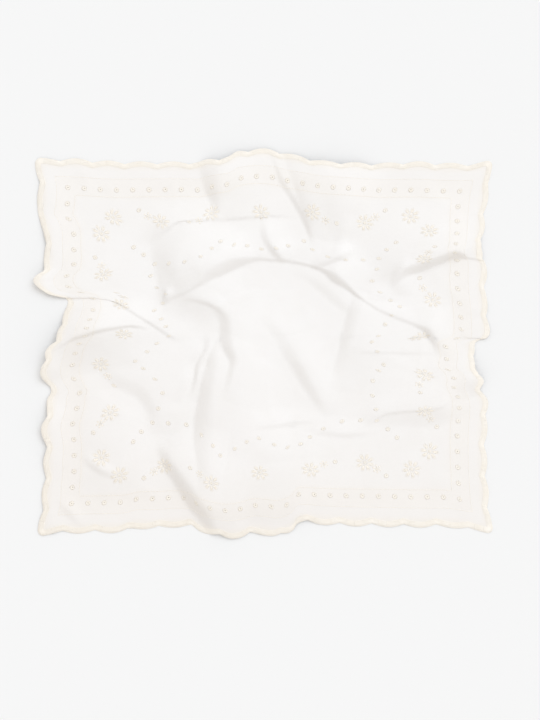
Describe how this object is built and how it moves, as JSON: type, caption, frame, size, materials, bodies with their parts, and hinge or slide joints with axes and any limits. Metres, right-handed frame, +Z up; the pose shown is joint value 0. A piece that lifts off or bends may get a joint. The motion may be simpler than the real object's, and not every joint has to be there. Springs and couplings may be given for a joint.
{
  "type": "foulard",
  "caption": "Square embroidered cotton foulard with a scalloped edge, lying loosely crumpled in ridges and overlapping lips.",
  "frame": {"origin": "on the surface that the cloth lies on, under the middle of the lying cloth", "axes": "+Z up from the surface; +X along the longer, less gathered way of the cloth; +Y along the gathered way"},
  "size_m": [0.5998, 0.4976, 0.0212],
  "materials": {
    "cotton": "thin plain-woven off-white cotton, matt",
    "embroidery": "ecru embroidery cotton with a soft sheen"
  },
  "bodies": {
    "root": {"foulard": "cotton"}
  },
  "joints": []
}
